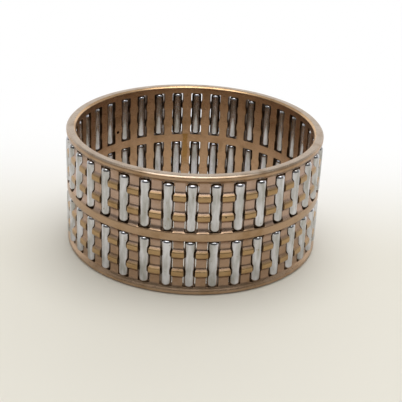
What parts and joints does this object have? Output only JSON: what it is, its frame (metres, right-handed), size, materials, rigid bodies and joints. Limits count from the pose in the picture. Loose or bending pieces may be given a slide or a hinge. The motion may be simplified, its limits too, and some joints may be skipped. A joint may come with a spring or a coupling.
{
  "type": "needle roller bearing",
  "caption": "Double-row needle roller and cage assembly: a bronze-coloured steel cage with windowed pockets holds steel needle rollers that spin freely between a shaft and a housing bore.",
  "frame": {"origin": "middle of the bearing's lower end face", "axes": "+Z along the bearing's axis, from the lower end face to the upper one; +X through the first roller pair"},
  "size_m": [0.074, 0.074, 0.035],
  "materials": {
    "cage_steel": "satin, bronze-coloured plating",
    "bearing_steel": "ground and polished"
  },
  "bodies": {
    "cage_body": {"cage": "cage_steel"},
    "rollers_01": {"needle_pair_01": "bearing_steel"},
    "rollers_02": {"needle_pair_02": "bearing_steel"},
    "rollers_03": {"needle_pair_03": "bearing_steel"},
    "rollers_04": {"needle_pair_04": "bearing_steel"},
    "rollers_05": {"needle_pair_05": "bearing_steel"},
    "rollers_06": {"needle_pair_06": "bearing_steel"},
    "rollers_07": {"needle_pair_07": "bearing_steel"},
    "rollers_08": {"needle_pair_08": "bearing_steel"},
    "rollers_09": {"needle_pair_09": "bearing_steel"},
    "rollers_10": {"needle_pair_10": "bearing_steel"},
    "rollers_11": {"needle_pair_11": "bearing_steel"},
    "rollers_12": {"needle_pair_12": "bearing_steel"},
    "rollers_13": {"needle_pair_13": "bearing_steel"},
    "rollers_14": {"needle_pair_14": "bearing_steel"},
    "rollers_15": {"needle_pair_15": "bearing_steel"},
    "rollers_16": {"needle_pair_16": "bearing_steel"},
    "rollers_17": {"needle_pair_17": "bearing_steel"},
    "rollers_18": {"needle_pair_18": "bearing_steel"},
    "rollers_19": {"needle_pair_19": "bearing_steel"},
    "rollers_20": {"needle_pair_20": "bearing_steel"},
    "rollers_21": {"needle_pair_21": "bearing_steel"},
    "rollers_22": {"needle_pair_22": "bearing_steel"},
    "rollers_23": {"needle_pair_23": "bearing_steel"},
    "rollers_24": {"needle_pair_24": "bearing_steel"},
    "rollers_25": {"needle_pair_25": "bearing_steel"},
    "rollers_26": {"needle_pair_26": "bearing_steel"},
    "rollers_27": {"needle_pair_27": "bearing_steel"},
    "rollers_28": {"needle_pair_28": "bearing_steel"},
    "rollers_29": {"needle_pair_29": "bearing_steel"},
    "rollers_30": {"needle_pair_30": "bearing_steel"},
    "rollers_31": {"needle_pair_31": "bearing_steel"},
    "rollers_32": {"needle_pair_32": "bearing_steel"},
    "rollers_33": {"needle_pair_33": "bearing_steel"},
    "rollers_34": {"needle_pair_34": "bearing_steel"},
    "rollers_35": {"needle_pair_35": "bearing_steel"},
    "rollers_36": {"needle_pair_36": "bearing_steel"}
  },
  "joints": [
    {"name": "spin_01", "type": "hinge", "parent": "cage_body", "child": "rollers_01", "pos_m": [0.0355, 0, 0.0175], "axis": [0, 0, 1], "continuous": true},
    {"name": "spin_02", "type": "hinge", "parent": "cage_body", "child": "rollers_02", "pos_m": [0.03496, 0.00616, 0.0175], "axis": [0, 0, 1], "continuous": true},
    {"name": "spin_03", "type": "hinge", "parent": "cage_body", "child": "rollers_03", "pos_m": [0.03336, 0.01214, 0.0175], "axis": [0, 0, 1], "continuous": true},
    {"name": "spin_04", "type": "hinge", "parent": "cage_body", "child": "rollers_04", "pos_m": [0.03074, 0.01775, 0.0175], "axis": [0, 0, 1], "continuous": true},
    {"name": "spin_05", "type": "hinge", "parent": "cage_body", "child": "rollers_05", "pos_m": [0.02719, 0.02282, 0.0175], "axis": [0, 0, 1], "continuous": true},
    {"name": "spin_06", "type": "hinge", "parent": "cage_body", "child": "rollers_06", "pos_m": [0.02282, 0.02719, 0.0175], "axis": [0, 0, 1], "continuous": true},
    {"name": "spin_07", "type": "hinge", "parent": "cage_body", "child": "rollers_07", "pos_m": [0.01775, 0.03074, 0.0175], "axis": [0, 0, 1], "continuous": true},
    {"name": "spin_08", "type": "hinge", "parent": "cage_body", "child": "rollers_08", "pos_m": [0.01214, 0.03336, 0.0175], "axis": [0, 0, 1], "continuous": true},
    {"name": "spin_09", "type": "hinge", "parent": "cage_body", "child": "rollers_09", "pos_m": [0.00616, 0.03496, 0.0175], "axis": [0, 0, 1], "continuous": true},
    {"name": "spin_10", "type": "hinge", "parent": "cage_body", "child": "rollers_10", "pos_m": [0, 0.0355, 0.0175], "axis": [0, 0, 1], "continuous": true},
    {"name": "spin_11", "type": "hinge", "parent": "cage_body", "child": "rollers_11", "pos_m": [-0.00616, 0.03496, 0.0175], "axis": [0, 0, 1], "continuous": true},
    {"name": "spin_12", "type": "hinge", "parent": "cage_body", "child": "rollers_12", "pos_m": [-0.01214, 0.03336, 0.0175], "axis": [0, 0, 1], "continuous": true},
    {"name": "spin_13", "type": "hinge", "parent": "cage_body", "child": "rollers_13", "pos_m": [-0.01775, 0.03074, 0.0175], "axis": [0, 0, 1], "continuous": true},
    {"name": "spin_14", "type": "hinge", "parent": "cage_body", "child": "rollers_14", "pos_m": [-0.02282, 0.02719, 0.0175], "axis": [0, 0, 1], "continuous": true},
    {"name": "spin_15", "type": "hinge", "parent": "cage_body", "child": "rollers_15", "pos_m": [-0.02719, 0.02282, 0.0175], "axis": [0, 0, 1], "continuous": true},
    {"name": "spin_16", "type": "hinge", "parent": "cage_body", "child": "rollers_16", "pos_m": [-0.03074, 0.01775, 0.0175], "axis": [0, 0, 1], "continuous": true},
    {"name": "spin_17", "type": "hinge", "parent": "cage_body", "child": "rollers_17", "pos_m": [-0.03336, 0.01214, 0.0175], "axis": [0, 0, 1], "continuous": true},
    {"name": "spin_18", "type": "hinge", "parent": "cage_body", "child": "rollers_18", "pos_m": [-0.03496, 0.00616, 0.0175], "axis": [0, 0, 1], "continuous": true},
    {"name": "spin_19", "type": "hinge", "parent": "cage_body", "child": "rollers_19", "pos_m": [-0.0355, 0, 0.0175], "axis": [0, 0, 1], "continuous": true},
    {"name": "spin_20", "type": "hinge", "parent": "cage_body", "child": "rollers_20", "pos_m": [-0.03496, -0.00616, 0.0175], "axis": [0, 0, 1], "continuous": true},
    {"name": "spin_21", "type": "hinge", "parent": "cage_body", "child": "rollers_21", "pos_m": [-0.03336, -0.01214, 0.0175], "axis": [0, 0, 1], "continuous": true},
    {"name": "spin_22", "type": "hinge", "parent": "cage_body", "child": "rollers_22", "pos_m": [-0.03074, -0.01775, 0.0175], "axis": [0, 0, 1], "continuous": true},
    {"name": "spin_23", "type": "hinge", "parent": "cage_body", "child": "rollers_23", "pos_m": [-0.02719, -0.02282, 0.0175], "axis": [0, 0, 1], "continuous": true},
    {"name": "spin_24", "type": "hinge", "parent": "cage_body", "child": "rollers_24", "pos_m": [-0.02282, -0.02719, 0.0175], "axis": [0, 0, 1], "continuous": true},
    {"name": "spin_25", "type": "hinge", "parent": "cage_body", "child": "rollers_25", "pos_m": [-0.01775, -0.03074, 0.0175], "axis": [0, 0, 1], "continuous": true},
    {"name": "spin_26", "type": "hinge", "parent": "cage_body", "child": "rollers_26", "pos_m": [-0.01214, -0.03336, 0.0175], "axis": [0, 0, 1], "continuous": true},
    {"name": "spin_27", "type": "hinge", "parent": "cage_body", "child": "rollers_27", "pos_m": [-0.00616, -0.03496, 0.0175], "axis": [0, 0, 1], "continuous": true},
    {"name": "spin_28", "type": "hinge", "parent": "cage_body", "child": "rollers_28", "pos_m": [0, -0.0355, 0.0175], "axis": [0, 0, 1], "continuous": true},
    {"name": "spin_29", "type": "hinge", "parent": "cage_body", "child": "rollers_29", "pos_m": [0.00616, -0.03496, 0.0175], "axis": [0, 0, 1], "continuous": true},
    {"name": "spin_30", "type": "hinge", "parent": "cage_body", "child": "rollers_30", "pos_m": [0.01214, -0.03336, 0.0175], "axis": [0, 0, 1], "continuous": true},
    {"name": "spin_31", "type": "hinge", "parent": "cage_body", "child": "rollers_31", "pos_m": [0.01775, -0.03074, 0.0175], "axis": [0, 0, 1], "continuous": true},
    {"name": "spin_32", "type": "hinge", "parent": "cage_body", "child": "rollers_32", "pos_m": [0.02282, -0.02719, 0.0175], "axis": [0, 0, 1], "continuous": true},
    {"name": "spin_33", "type": "hinge", "parent": "cage_body", "child": "rollers_33", "pos_m": [0.02719, -0.02282, 0.0175], "axis": [0, 0, 1], "continuous": true},
    {"name": "spin_34", "type": "hinge", "parent": "cage_body", "child": "rollers_34", "pos_m": [0.03074, -0.01775, 0.0175], "axis": [0, 0, 1], "continuous": true},
    {"name": "spin_35", "type": "hinge", "parent": "cage_body", "child": "rollers_35", "pos_m": [0.03336, -0.01214, 0.0175], "axis": [0, 0, 1], "continuous": true},
    {"name": "spin_36", "type": "hinge", "parent": "cage_body", "child": "rollers_36", "pos_m": [0.03496, -0.00616, 0.0175], "axis": [0, 0, 1], "continuous": true}
  ]
}
